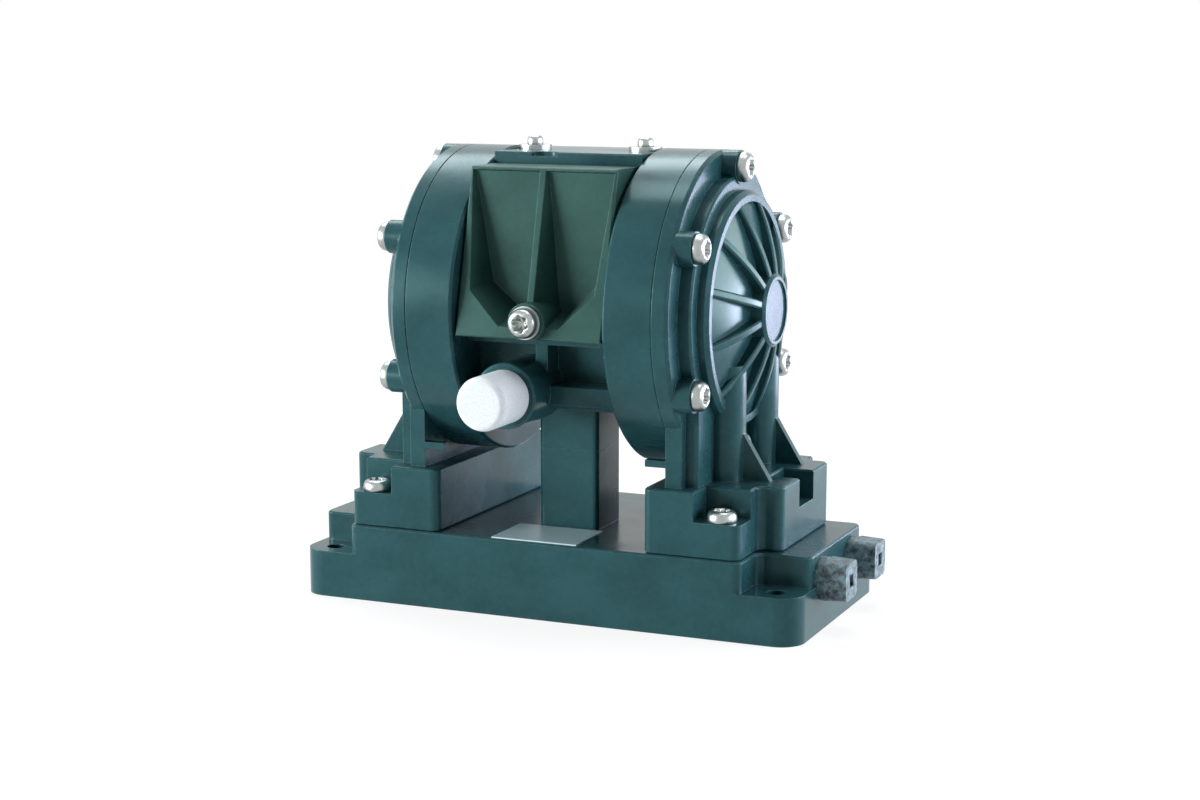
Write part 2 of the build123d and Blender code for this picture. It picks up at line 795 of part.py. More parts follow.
with BuildPart() as chamber_screws:
    for k in range(chamber_screw_count):
        a = radians(k * 360 / chamber_screw_count)
        spot = across(chamber_floor)
        place = spot.from_local_coords((chamber_screw_circle * cos(a), chamber_screw_circle * sin(a)))
        reach = chamber_screw_grip + floor_thickness - screw_clearance
        with BuildSketch(Plane(place, x_dir=(1, 0, 0), z_dir=(0, -1, 0))):
            with BuildLine():
                Polyline(
                    (0, 0),
                    (0, 2 * chamber_screw_radius - screw_clearance),
                    (-chamber_screw_radius, chamber_screw_radius - screw_clearance),
                    (-reach, chamber_screw_radius - screw_clearance),
                    (-reach, 0),
                    close=True,
                )
            make_face()
        revolve(axis=Axis(place, (1, 0, 0)))
finish_pair(chamber_screws, "chamber_screws")

# Silencer: a porous cap with a threaded spigot
with BuildPart() as silencer:
    with BuildSketch(Plane.XZ.offset(silencer_boss_face)):
        with Locations((silencer_x, silencer_height)):
            Circle(silencer_radius)
    extrude(amount=silencer_length)
    fillet(silencer.edges().sort_by(Axis.Y)[0], silencer_radius / 4)
    with BuildSketch(Plane.XZ.offset(silencer_boss_face)):
        with Locations((silencer_x, silencer_height)):
            Circle(port_radius - fit_gap)
    extrude(amount=-spigot_length)
finish(silencer, "silencer")

# Rod with its bushes and seals
with BuildPart() as diaphragm_rod:
    with BuildSketch(across(0)):
        Circle(rod_radius)
    extrude(amount=inner_plate_face, both=True)
    with BuildSketch(across(0)):
        Circle(stud_radius)
    extrude(amount=outer_plate_face - plate_nose, both=True)
finish(diaphragm_rod, "diaphragm_rod")

bush_outer_end = housing_half - shaft_seal_length
with BuildPart() as shaft_bushes:
    for side in (1, -1):
        with BuildSketch(across(side * bush_outer_end)):
            Circle(bush_radius)
            Circle(rod_radius + running_fit, mode=Mode.SUBTRACT)
        extrude(amount=-side * bush_length)
finish(shaft_bushes, "shaft_bushes")

with BuildPart() as shaft_seals:
    for side in (1, -1):
        with BuildSketch(across(side * bush_outer_end)):
            Circle(bush_radius)
            Circle(rod_radius + running_fit, mode=Mode.SUBTRACT)
        extrude(amount=side * shaft_seal_length)
finish(shaft_seals, "shaft_seals")

# Diaphragm: flat clamped edge, one convolution and a flat middle
with BuildPart() as diaphragm:
    with BuildSketch(Plane.XZ):
        with BuildLine():
            wave_in = plate_radius + wave_margin_inside
            wave_out = chamber_radius - wave_margin_outside
            wave_mid = (wave_in + wave_out) / 2
            fluid_side = parting + web_half
            air_side = parting - web_half
            Polyline(
                on_axis(fluid_side, wave_in),
                on_axis(fluid_side, stud_radius + fit_gap),
                on_axis(air_side, stud_radius + fit_gap),
                on_axis(air_side, wave_in),
            )
            ThreePointArc(
                on_axis(air_side, wave_in),
                on_axis(air_side - convolution, wave_mid),
                on_axis(air_side, wave_out),
            )
            Polyline(
                on_axis(air_side, wave_out),
                on_axis(air_side, clamp_radius),
                on_axis(fluid_side, clamp_radius),
                on_axis(fluid_side, wave_out),
            )
            ThreePointArc(
                on_axis(fluid_side, wave_out),
                on_axis(fluid_side - convolution, wave_mid),
                on_axis(fluid_side, wave_in),
            )
        make_face()
    revolve(axis=axis_line)
finish_pair(diaphragm, "diaphragm")

# Plates that clamp the diaphragm to the rod
with BuildPart() as inner_plate:
    with BuildSketch(across(inner_plate_face)):
        Circle(plate_radius)
        Circle(stud_radius + fit_gap, mode=Mode.SUBTRACT)
    extrude(amount=inner_plate_thickness)
    fillet(inner_plate.edges().filter_by(GeomType.CIRCLE).sort_by(SortBy.RADIUS)[-2:], plate_round)
finish_pair(inner_plate, "inner_plate")

with BuildPart() as outer_plate:
    plate_nose_x = outer_plate_face + plate_nose
    plate_rim_x = fluid_side + outer_plate_thickness / 2
    plate_mid_x = cap_x(plate_nose_x, plate_rim_x, plate_radius, plate_radius / 2)
    with BuildSketch(Plane.XZ):
        with BuildLine():
            Polyline(
                on_axis(plate_nose_x, 0),
                on_axis(outer_plate_face - plate_nose, 0),
                on_axis(outer_plate_face - plate_nose, stud_radius + fit_gap),
                on_axis(fluid_side, stud_radius + fit_gap),
                on_axis(fluid_side, plate_radius),
                on_axis(plate_rim_x, plate_radius),
            )
            ThreePointArc(
                on_axis(plate_rim_x, plate_radius),
                on_axis(plate_mid_x, plate_radius / 2),
                on_axis(plate_nose_x, 0),
            )
        make_face()
    revolve(axis=axis_line)
finish_pair(outer_plate, "outer_plate")

# Check valves in the right foot, mirrored for the left
ball_rise = sqrt(ball_radius**2 - seat_bore**2) + fit_gap
inlet_ball_height = deck_height + seat_height + ball_rise
outlet_seat_base = outlet_seat_top - seat_height
outlet_ball_height = outlet_seat_base - ball_rise

with BuildPart() as inlet_seat:
    with BuildSketch(Plane.XY.offset(deck_height)):
        with Locations((column_x, front * column_offset)):
            Circle(cavity_radius - fit_gap)
            Circle(seat_bore, mode=Mode.SUBTRACT)
    extrude(amount=seat_height)
finish_pair(inlet_seat, "inlet_seat")

with BuildPart() as inlet_ball:
    with Locations((column_x, front * column_offset, inlet_ball_height)):
        Sphere(ball_radius)
finish_pair(inlet_ball, "inlet_ball")

with BuildPart() as outlet_seat:
    with BuildSketch(Plane.XY.offset(outlet_seat_base)):
        with Locations((column_x, rear * column_offset)):
            Circle(cavity_radius - fit_gap)
            Circle(seat_bore, mode=Mode.SUBTRACT)
    extrude(amount=seat_height)
finish_pair(outlet_seat, "outlet_seat")

with BuildPart() as outlet_ball:
    with Locations((column_x, rear * column_offset, outlet_ball_height)):
        Sphere(ball_radius)
finish_pair(outlet_ball, "outlet_ball")

with BuildPart() as outlet_retainer:
    with BuildSketch(Plane.XY.offset(deck_height)):
        with Locations((column_x, rear * column_offset)):
            Circle(cavity_radius - fit_gap)
            with PolarLocations((coil_radius + cavity_radius) / 2, 6):
                Circle(1, mode=Mode.SUBTRACT)
            Circle(coil_radius - 3 * wire_radius, mode=Mode.SUBTRACT)
    extrude(amount=retainer_height)
finish_pair(outlet_retainer, "outlet_retainer")

# Outlet spring between the retainer and the ball
spring_foot = deck_height + retainer_height + wire_radius + fit_gap
spring_head = outlet_ball_height - sqrt(ball_radius**2 - (coil_radius - wire_radius) ** 2) - 2 * wire_radius
with BuildPart() as outlet_spring:
    with BuildLine() as coil:
        Helix(
            (spring_head - spring_foot) / coil_turns,
            spring_head - spring_foot,
            coil_radius,
            center=(column_x, rear * column_offset, spring_foot),
        )
    with BuildSketch(Plane(coil.line @ 0, z_dir=coil.line % 0)):
        Circle(wire_radius)
    sweep(path=coil.line, is_frenet=True)
finish_pair(outlet_spring, "outlet_spring")

# Seals between the base and the feet
with BuildPart() as port_seals:
    with Locations(
        (column_x, front * column_offset, deck_height + seal_section),
        (column_x, rear * column_offset, deck_height + seal_section),
    ):
        Torus(seal_radius, seal_section)
finish_pair(port_seals, "port_seals")

# Square-headed plugs in the right-hand ports
plug_seat = base_length / 2 - port_block_setback
for row, name in ((front, "inlet_plug"), (rear, "outlet_plug")):
    with BuildPart() as port_plug:
        with BuildSketch(Plane.YZ.offset(plug_seat)):
            with Locations((row * duct_offset, duct_height)):
                Circle(plug_collar_radius)
        extrude(amount=plug_collar_length)
        with BuildSketch(Plane.YZ.offset(plug_seat + plug_collar_length)):
            with Locations((row * duct_offset, duct_height)):
                RectangleRounded(plug_flats, plug_flats, plug_flats / 5)
        extrude(amount=plug_length - plug_collar_length, taper=plug_draft)
        with BuildSketch(Plane.YZ.offset(plug_seat)):
            with Locations((row * duct_offset, duct_height)):
                Circle(port_radius - fit_gap)
        extrude(amount=fit_gap - port_depth)
        with BuildSketch(Plane.YZ.offset(plug_seat + plug_length)):
            with Locations((row * duct_offset, duct_height)):
                Rectangle(plug_socket, plug_socket)
        extrude(amount=-plug_socket_depth, mode=Mode.SUBTRACT)
    finish(port_plug, name)

# Bare rating plate on the deck
with BuildPart() as rating_plate:
    with BuildSketch(Plane.XY.offset(deck_height)):
        with Locations((plate_x, plate_y)):
            Rectangle(plate_length, plate_width)
    extrude(amount=plate_thickness)
finish(rating_plate, "rating_plate")
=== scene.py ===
import json
import math

import bmesh
import bpy
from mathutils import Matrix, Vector


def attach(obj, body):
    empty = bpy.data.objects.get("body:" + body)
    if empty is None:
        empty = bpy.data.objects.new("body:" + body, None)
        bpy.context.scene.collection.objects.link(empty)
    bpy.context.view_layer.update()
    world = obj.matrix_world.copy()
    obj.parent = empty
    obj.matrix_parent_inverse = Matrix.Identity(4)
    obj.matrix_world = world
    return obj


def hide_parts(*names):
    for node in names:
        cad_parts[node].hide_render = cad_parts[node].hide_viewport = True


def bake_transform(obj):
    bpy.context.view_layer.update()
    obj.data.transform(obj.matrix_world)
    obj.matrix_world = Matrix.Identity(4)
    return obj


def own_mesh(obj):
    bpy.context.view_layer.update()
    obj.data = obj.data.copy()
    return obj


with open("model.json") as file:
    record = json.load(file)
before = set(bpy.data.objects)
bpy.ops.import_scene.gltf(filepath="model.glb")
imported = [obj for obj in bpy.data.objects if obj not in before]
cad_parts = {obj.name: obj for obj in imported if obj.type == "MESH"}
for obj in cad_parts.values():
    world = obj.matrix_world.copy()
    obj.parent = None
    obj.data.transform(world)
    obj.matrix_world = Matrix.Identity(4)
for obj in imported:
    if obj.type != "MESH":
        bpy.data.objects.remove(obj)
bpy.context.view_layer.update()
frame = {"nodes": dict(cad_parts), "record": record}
print("pump frame loaded:", len(frame["nodes"]), "nodes")


def toLinear(hexColour):
    # an sRGB hex colour as the linear colour that a shader or lamp takes
    parts = [int(hexColour[i:i + 2], 16) / 255 for i in (1, 3, 5)]
    return tuple(p / 12.92 if p <= 0.04045 else ((p + 0.055) / 1.055) ** 2.4 for p in parts) + (1.0,)


def addNode(tree, kind, settings=None, links=None):
    # one node with its settings and links; a setting named after a socket sets that socket
    node = tree.nodes.new(kind)
    for name, value in (settings or {}).items():
        if isinstance(name, str) and hasattr(node, name):
            setattr(node, name, value)
        else:
            node.inputs[name].default_value = value
    for name, source in (links or {}).items():
        tree.links.new(source, node.inputs[name])
    return node


def addObject(name, data):
    thing = bpy.data.objects.new(name, data)
    bpy.context.scene.collection.objects.link(thing)
    return thing


def toMesh(shape, name):
    mesh = bpy.data.meshes.new(name)
    shape.to_mesh(mesh)
    shape.free()
    return mesh


def aimAt(thing, place, target):
    thing.location = place
    thing.rotation_euler = (Vector(target) - thing.location).to_track_quat("-Z", "Y").to_euler()


def startMaterial(name, shaderSettings):
    material = bpy.data.materials.new(name)
    material.use_nodes = True
    tree = material.node_tree
    tree.nodes.clear()
    shader = addNode(tree, "ShaderNodeBsdfPrincipled", shaderSettings)
    addNode(tree, "ShaderNodeOutputMaterial", links={"Surface": shader.outputs["BSDF"]})
    place = addNode(tree, "ShaderNodeTexCoord").outputs["Object"]
    return material, tree, shader, place


def dressShader(tree, shader, look, colourBy=None, roughBy=None, heightBy=None):
    # two tones, a span of roughness and a relief, each led by a pattern
    if colourBy:
        tones = {"data_type": "RGBA", 6: toLinear(look["dark"]), 7: toLinear(look["pale"])}
        blend = addNode(tree, "ShaderNodeMix", tones, {0: colourBy})
        tree.links.new(blend.outputs[2], shader.inputs["Base Color"])
    if roughBy:
        start, end = look.get("roughSpan", (0.0, 1.0))  # the part of the pattern that the roughness follows
        span = addNode(tree, "ShaderNodeMapRange", {
            "From Min": start, "From Max": end, "To Min": look["roughLow"], "To Max": look["roughHigh"]}, {"Value": roughBy})
        tree.links.new(span.outputs["Result"], shader.inputs["Roughness"])
    if heightBy:
        relief = {"Strength": look["relief"], "Distance": look["reliefMm"] / 1000, "invert": look.get("sunk", False)}
        bump = addNode(tree, "ShaderNodeBump", relief, {"Height": heightBy})
        tree.links.new(bump.outputs["Normal"], shader.inputs["Normal"])


# the edge colour is a painted highlight, laid along the casing's edges and broken into patches by a spot pattern
mouldedCasing = {
    "dark": "#1e4044", "pale": "#295156", "edge": "#628a8e", "sheen": "#c4f4f4", "gloss": 0.35, "shine": 1.49,
    "edgeMm": 0.5, "sparkMm": 0.35, "spark": 0.35, "sparkDeepMm": 0.04, "flowMm": 26, "flowStretch": (1.0, 1.5, 1.7),
    "spotsPerMetre": 420.0, "cloudShare": 0.6, "spotShare": 0.4, "toneSpan": (0.3, 0.7), "edgeLean": (0.72, 0.98),
    "edgeCover": 0.9, "highlightPatchWhere": (0.35, 0.6), "highlightPatchLeast": 0.3, "roughLow": 0.2, "roughHigh": 0.3, "roughSpan": (0.3, 0.7),
}
# the valve body takes a copy of the casing plastic that is paler, greener and rougher, with its own edge colour
valveCasing = dict(mouldedCasing, dark="#26443e", pale="#33564f", edge="#648a84", gloss=0.3, roughLow=0.3, roughHigh=0.42)


def makeMouldedPolypropylene(name, look):
    # glass-filled polypropylene from a spark-eroded mould: satin, with a fine grain, faint flow clouds and a painted
    # highlight along the edges
    material, tree, shader, place = startMaterial(name, {
        "IOR": look["shine"], "Specular IOR Level": look["gloss"], "Specular Tint": toLinear(look["sheen"])})
    flow = addNode(tree, "ShaderNodeMapping", {"Scale": look["flowStretch"]}, {"Vector": place})
    clouds = addNode(tree, "ShaderNodeTexNoise", {
        "Scale": 1000 / look["flowMm"], "Detail": 2.0, "Roughness": 0.5}, {"Vector": flow.outputs["Vector"]})
    spots = addNode(tree, "ShaderNodeTexNoise", {
        "Scale": look["spotsPerMetre"], "Detail": 3.0, "Roughness": 0.7}, {"Vector": place})
    fewSpots = addNode(tree, "ShaderNodeMapRange", {"To Max": look["spotShare"]}, {"Value": spots.outputs["Fac"]})
    both = addNode(tree, "ShaderNodeMath", {"operation": "MULTIPLY_ADD", 1: look["cloudShare"]},
                   {0: clouds.outputs["Fac"], 2: fewSpots.outputs["Result"]})
    tone = addNode(tree, "ShaderNodeMapRange", {
        "From Min": look["toneSpan"][0], "From Max": look["toneSpan"][1]}, {"Value": both.outputs[0]})
    body = addNode(tree, "ShaderNodeMix", {
        "data_type": "RGBA", 6: toLinear(look["dark"]), 7: toLinear(look["pale"])}, {0: tone.outputs["Result"]})
    # how far a softened normal leans from the true one shows where the edges are
    rounded = addNode(tree, "ShaderNodeBevel", {"samples": 4, "Radius": look["edgeMm"] / 1000})
    flat = addNode(tree, "ShaderNodeNewGeometry")
    lean = addNode(tree, "ShaderNodeVectorMath", {"operation": "DOT_PRODUCT"},
                   {0: rounded.outputs["Normal"], 1: flat.outputs["Normal"]})
    edges = addNode(tree, "ShaderNodeMapRange", {
        "From Min": look["edgeLean"][0], "From Max": look["edgeLean"][1],
        "To Min": look["edgeCover"], "To Max": 0.0}, {"Value": lean.outputs["Value"]})
    # a spot pattern breaks the painted edge highlight into patches
    highlightPatches = addNode(tree, "ShaderNodeMapRange", {
        "From Min": look["highlightPatchWhere"][0], "From Max": look["highlightPatchWhere"][1],
        "To Min": look["highlightPatchLeast"], "To Max": 1.0}, {"Value": spots.outputs["Fac"]})
    edgeHighlight = addNode(tree, "ShaderNodeMath", {"operation": "MULTIPLY"},
                     {0: edges.outputs["Result"], 1: highlightPatches.outputs["Result"]})
    # painted highlight: the paler edge colour is laid where the edges are
    blend = addNode(tree, "ShaderNodeMix", {"data_type": "RGBA", 7: toLinear(look["edge"])},
                    {0: edgeHighlight.outputs[0], 6: body.outputs[2]})
    tree.links.new(blend.outputs[2], shader.inputs["Base Color"])
    dressShader(tree, shader, look, roughBy=clouds.outputs["Fac"])
    # spark marks, drawn twice as coarse as they are so that they show
    grain = addNode(tree, "ShaderNodeTexNoise", {"Scale": 1000 / look["sparkMm"] / 2, "Detail": 2.0}, {"Vector": place})
    bump = addNode(tree, "ShaderNodeBump", {"Strength": look["spark"], "Distance": look["sparkDeepMm"] / 1000},
                   {"Height": grain.outputs["Fac"], "Normal": rounded.outputs["Normal"]})
    tree.links.new(bump.outputs["Normal"], shader.inputs["Normal"])
    return material


screwSteel = {"dark": "#8f9694", "pale": "#bcc2c0", "roughLow": 0.24, "roughHigh": 0.4, "dentsPerMetre": 700.0,
              "relief": 0.4, "reliefMm": 0.06}


def makeStainlessSteel():
    # A2 stainless steel, cold headed and tumbled: softly bright, with faint dents
    material, tree, shader, place = startMaterial("stainless steel, cold headed", {"Metallic": 1.0})
    dents = addNode(tree, "ShaderNodeTexNoise", {"Scale": screwSteel["dentsPerMetre"], "Detail": 3.0}, {"Vector": place})
    pattern = dents.outputs["Fac"]
    dressShader(tree, shader, screwSteel, pattern, pattern, pattern)
    return material


silencerBeads = {"dark": "#dce1e3", "pale": "#eaeeef", "rough": 0.72, "shine": 1.5, "beadMm": 0.7, "poreSpan": (0.2, 0.9),
                 "relief": 0.3, "reliefMm": 0.1, "sunk": True}


def makeSinteredPolyethylene():
    # polyethylene beads sintered in a mould: matt white with a tight grain of pores
    look = silencerBeads
    material, tree, shader, place = startMaterial("sintered polyethylene, porous", {
        "Roughness": look["rough"], "IOR": look["shine"]})
    beads = addNode(tree, "ShaderNodeTexVoronoi", {"Scale": 1000 / look["beadMm"]}, {"Vector": place})
    pores = addNode(tree, "ShaderNodeMapRange", {
        "From Min": look["poreSpan"][0], "From Max": look["poreSpan"][1], "To Min": 1.0, "To Max": 0.0},
        {"Value": beads.outputs["Distance"]})
    dressShader(tree, shader, look, colourBy=pores.outputs["Result"], heightBy=beads.outputs["Distance"])
    return material


plugGrain = {"dark": "#1f3338", "pale": "#8ba6ac", "pitMm": 2.6, "paleGrainFrom": 0.4, "paleGrainTo": 0.68, "roughLow": 0.3,
             "roughHigh": 0.6, "roughSpan": (0.3, 0.7), "relief": 0.8, "reliefMm": 0.3, "shine": 1.49}


def makePlugPlastic():
    # polypropylene plugs, rough moulded: pitted, and paler where the grain stands raised
    look = plugGrain
    material, tree, shader, place = startMaterial("plug polypropylene, rough moulded", {"IOR": look["shine"]})
    pits = addNode(tree, "ShaderNodeTexNoise", {
        "Scale": 1000 / look["pitMm"], "Detail": 5.0, "Roughness": 0.7}, {"Vector": place})
    paleOnRaisedGrain = addNode(tree, "ShaderNodeValToRGB", links={"Fac": pits.outputs["Fac"]})
    paleOnRaisedGrain.color_ramp.elements[0].position = look["paleGrainFrom"]
    paleOnRaisedGrain.color_ramp.elements[1].position = look["paleGrainTo"]
    dressShader(tree, shader, look, paleOnRaisedGrain.outputs["Color"], pits.outputs["Fac"], pits.outputs["Fac"])
    return material


plateFoil = {"dark": "#bfdfe7", "pale": "#e2f3f6", "metallic": 0.15, "streakMm": 0.4, "streakStretch": (0.03, 1.0, 1.0),
             "roughLow": 0.28, "roughHigh": 0.42}


def makePlateFoil():
    # anodised aluminium foil, brushed along its length: silver with fine streaks
    look = plateFoil
    material, tree, shader, place = startMaterial("aluminium foil, brushed and anodised", {"Metallic": look["metallic"]})
    along = addNode(tree, "ShaderNodeMapping", {"Scale": look["streakStretch"]}, {"Vector": place})
    streaks = addNode(tree, "ShaderNodeTexNoise", {
        "Scale": 1000 / look["streakMm"], "Detail": 4.0}, {"Vector": along.outputs["Vector"]})
    dressShader(tree, shader, look, colourBy=streaks.outputs["Fac"], roughBy=streaks.outputs["Fac"])
    return material


# The parts inside the casing: two close tones, middle roughness, metallic, grain in mm and IOR
innerLooks = {
    "seal_rubber": ("nitrile rubber, moulded", "#0d0d0e", "#171718", 0.5, 0.0, 1.2, 1.52),
    "diaphragm_rubber": ("thermoplastic elastomer, moulded", "#1a1714", "#26211c", 0.55, 0.0, 1.5, 1.5),
    "aluminium": ("aluminium, turned", "#b4b7ba", "#cdd0d2", 0.34, 1.0, 0.8, 1.5),
    "natural_polypropylene": ("natural polypropylene, turned", "#cfccbd", "#dedbce", 0.42, 0.0, 1.4, 1.49),
    "acetal": ("acetal, turned", "#d9d9d3", "#e8e8e3", 0.33, 0.0, 1.4, 1.48),
    "ptfe": ("ptfe, ground", "#e6e6e1", "#f2f2ee", 0.4, 0.0, 1.0, 1.35),
}
innerRoughSpread = 0.06


def makeInnerMaterial(name, dark, pale, rough, metallic, grainMm, shine):
    # a turned or moulded part out of sight: close tones and a fine grain
    material, tree, shader, place = startMaterial(name, {"Metallic": metallic, "IOR": shine})
    grain = addNode(tree, "ShaderNodeTexNoise", {"Scale": 1000 / grainMm, "Detail": 3.0}, {"Vector": place})
    look = {"dark": dark, "pale": pale, "roughLow": rough - innerRoughSpread, "roughHigh": rough + innerRoughSpread,
            "relief": 0.3, "reliefMm": 0.05}
    pattern = grain.outputs["Fac"]
    dressShader(tree, shader, look, pattern, pattern, pattern)
    return material


steel = makeStainlessSteel()
finishes = {
    "moulded_casing": makeMouldedPolypropylene("moulded polypropylene, spark-eroded satin", mouldedCasing),
    "stainless_steel": steel,
    "sintered_polyethylene": makeSinteredPolyethylene(),
    "plug_plastic": makePlugPlastic(),
    "plate_foil": makePlateFoil(),
}
finishes.update({slot: makeInnerMaterial(*look) for slot, look in innerLooks.items()})
valveFinish = makeMouldedPolypropylene("moulded polypropylene, valve body, paler and greener", valveCasing)
slotOf = {part["node"]: part["material_slot"] for part in frame["record"]["subparts"]}
for name, node in frame["nodes"].items():
    finish = valveFinish if name == "valve_body" else finishes[slotOf[name]]
    if not node.material_slots:
        node.data.materials.append(finish)
    for holder in node.material_slots:
        holder.material = finish
print("finishes set:", len(finishes))

# Screws: a pan head with a six-lobe recess, put on points that carry their direction and size
axisHeight = 0.1088  # the middle of the round covers, over the floor
screwSizes = {"headRadius": 0.0053, "headHeight": 0.004, "shankShare": 0.47, "shankLength": 0.008, "lobes": 6,
              "lobeDepth": 0.15, "around": 48, "sizeFactor": 1.0, "seed": 7}
screwSpots = {"coverFace": 0.058, "coverCircle": 0.050, "perCover": 6, "footX": 0.067, "footY": 0.0405, "footTop": 0.0405,
              "topX": 0.0217, "topZ": 0.1652, "valve": (0, -0.0562, 0.1073)}
fullSize, topSize = (1, 1, 1), (0.547, 0.547, 0.8)
screwPlaces = []
for side in (1, -1):
    for k in range(screwSpots["perCover"]):
        turn = math.radians(30 + 360 / screwSpots["perCover"] * k)
        circle = screwSpots["coverCircle"]
        place = (side * screwSpots["coverFace"], circle * math.cos(turn), axisHeight + circle * math.sin(turn))
        screwPlaces.append((place, (side, 0, 0), fullSize))
    for row in (1, -1):
        place = (side * screwSpots["footX"], row * screwSpots["footY"], screwSpots["footTop"])
        screwPlaces.append((place, (0, 0, 1), fullSize))
    screwPlaces.append(((side * screwSpots["topX"], 0, screwSpots["topZ"]), (0, 0, 1), topSize))
screwPlaces.append((screwSpots["valve"], (0, -1, 0), fullSize))


def makeScrewShape():
    radius, height, count = screwSizes["headRadius"], screwSizes["headHeight"], screwSizes["around"]
    shank, shankEnd = screwSizes["shankShare"], -screwSizes["shankLength"]
    # rings from the shank's end over the head and down into the recess: share of the radius, how lobed, height
    rings = [(0.0, 0, shankEnd), (shank, 0, shankEnd), (shank, 0, 0.0), (0.97, 0, 0.0), (1.0, 0, 0.0002),
             (1.0, 0, 0.0012), (0.985, 0, 0.0019), (0.96, 0, 0.0025), (0.91, 0, 0.0031), (0.84, 0, 0.0035),
             (0.75, 0, 0.0038), (0.66, 0, 0.00395), (0.58, 0.6, height), (0.54, 1, height - 0.0001),
             (0.5, 1, 0.0036), (0.48, 1, 0.0008), (0.0, 0, 0.0005)]
    shape = bmesh.new()
    loops = []
    for share, lobed, z in rings:
        loop = []
        for i in range(count):
            turn = 2 * math.pi * i / count
            lobe = 1 + screwSizes["lobeDepth"] * lobed * math.cos(screwSizes["lobes"] * turn)
            reach = radius * share * lobe
            loop.append(shape.verts.new((reach * math.cos(turn), reach * math.sin(turn), z)))
            if share == 0:
                break
        loops.append(loop)
    for low, high in zip(loops, loops[1:]):
        for i in range(count):
            j = (i + 1) % count
            corners = [low[i % len(low)], low[j % len(low)], high[j % len(high)], high[i % len(high)]]
            shape.faces.new(list(dict.fromkeys(corners)))
    bmesh.ops.recalc_face_normals(shape, faces=shape.faces)
    mesh = toMesh(shape, "screw shape")
    mesh.polygons.foreach_set("use_smooth", [True] * len(mesh.polygons))
    return bpy.data.objects.new("screw shape", mesh)


def makeScrewTree():
    tree = bpy.data.node_groups.new("screws on points", "GeometryNodeTree")
    for name, kind in (("Geometry", "Geometry"), ("Screw", "Object"), ("Finish", "Material"),
                       ("Size Factor", "Float"), ("Seed", "Int")):
        tree.interface.new_socket(name, in_out="INPUT", socket_type="NodeSocket" + kind)
    tree.interface.new_socket("Geometry", in_out="OUTPUT", socket_type="NodeSocketGeometry")
    given = addNode(tree, "NodeGroupInput")
    aim = addNode(tree, "GeometryNodeInputNamedAttribute", {"data_type": "FLOAT_VECTOR", "Name": "aim"})
    size = addNode(tree, "GeometryNodeInputNamedAttribute", {"data_type": "FLOAT_VECTOR", "Name": "size"})
    scaled = addNode(tree, "ShaderNodeVectorMath", {"operation": "SCALE"},
                     {0: size.outputs["Attribute"], "Scale": given.outputs["Size Factor"]})
    facing = addNode(tree, "FunctionNodeAlignRotationToVector", {"axis": "Z"}, {"Vector": aim.outputs["Attribute"]})
    spin = addNode(tree, "FunctionNodeRandomValue", {"data_type": "FLOAT", 2: 0.0, 3: math.pi / 3},
                   {"Seed": given.outputs["Seed"]})
    spinAxis = addNode(tree, "FunctionNodeAxisAngleToRotation", {"Axis": (0, 0, 1)}, {"Angle": spin.outputs[1]})
    turned = addNode(tree, "FunctionNodeRotateRotation", {"rotation_space": "LOCAL"},
                     {"Rotation": facing.outputs["Rotation"], "Rotate By": spinAxis.outputs["Rotation"]})
    screw = addNode(tree, "GeometryNodeObjectInfo", links={"Object": given.outputs["Screw"]})
    points = addNode(tree, "GeometryNodeMeshToPoints", links={"Mesh": given.outputs["Geometry"]})
    placed = addNode(tree, "GeometryNodeInstanceOnPoints", links={
        "Points": points.outputs["Points"], "Instance": screw.outputs["Geometry"],
        "Rotation": turned.outputs["Rotation"], "Scale": scaled.outputs["Vector"]})
    real = addNode(tree, "GeometryNodeRealizeInstances", links={"Geometry": placed.outputs["Instances"]})
    finished = addNode(tree, "GeometryNodeSetMaterial", links={
        "Geometry": real.outputs["Geometry"], "Material": given.outputs["Finish"]})
    addNode(tree, "NodeGroupOutput", links={"Geometry": finished.outputs["Geometry"]})
    return tree


def placeScrews():
    mesh = bpy.data.meshes.new("screw points")
    mesh.from_pydata([place for place, _, _ in screwPlaces], [], [])
    for name, column in (("aim", 1), ("size", 2)):
        values = [part for row in screwPlaces for part in row[column]]
        mesh.attributes.new(name, "FLOAT_VECTOR", "POINT").data.foreach_set("vector", values)
    points = addObject("screw points", mesh)
    screw = makeScrewShape()
    tree = makeScrewTree()
    modifier = points.modifiers.new("screws", "NODES")
    modifier.node_group = tree
    sockets = {item.name: item.identifier for item in tree.interface.items_tree if item.in_out == "INPUT"}
    modifier[sockets["Screw"]] = screw
    modifier[sockets["Finish"]] = steel
    modifier[sockets["Size Factor"]] = screwSizes["sizeFactor"]
    modifier[sockets["Seed"]] = screwSizes["seed"]
    evaluated = points.evaluated_get(bpy.context.evaluated_depsgraph_get())
    piece = addObject("pan_head_screws", bpy.data.meshes.new_from_object(evaluated))
    bpy.data.objects.remove(points)
    bpy.data.objects.remove(screw)
    return piece


screws = placeScrews()
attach(screws, "casing")
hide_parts("cover_screws_right", "cover_screws_left", "foot_screws_right", "foot_screws_left", "valve_screw",
            "top_screws")
print("screws placed:", len(screwPlaces), "with", len(screws.data.polygons), "faces")

# Diaphragms: six sectors a side, each reaching from the hole at the rod to its clamped edge, with a wave between
diaphragmSizes = {"face": 0.0466, "half": 0.0012, "wave": 0.0026, "hole": 0.0042, "innerRings": (0.012, 0.017),
                  "plate": 0.0205, "waveFrom": 0.0215, "waveTo": 0.0405, "waveSteps": 14, "outerRing": 0.043,
                  "edge": 0.0453, "sectors": 6, "steps": 12}


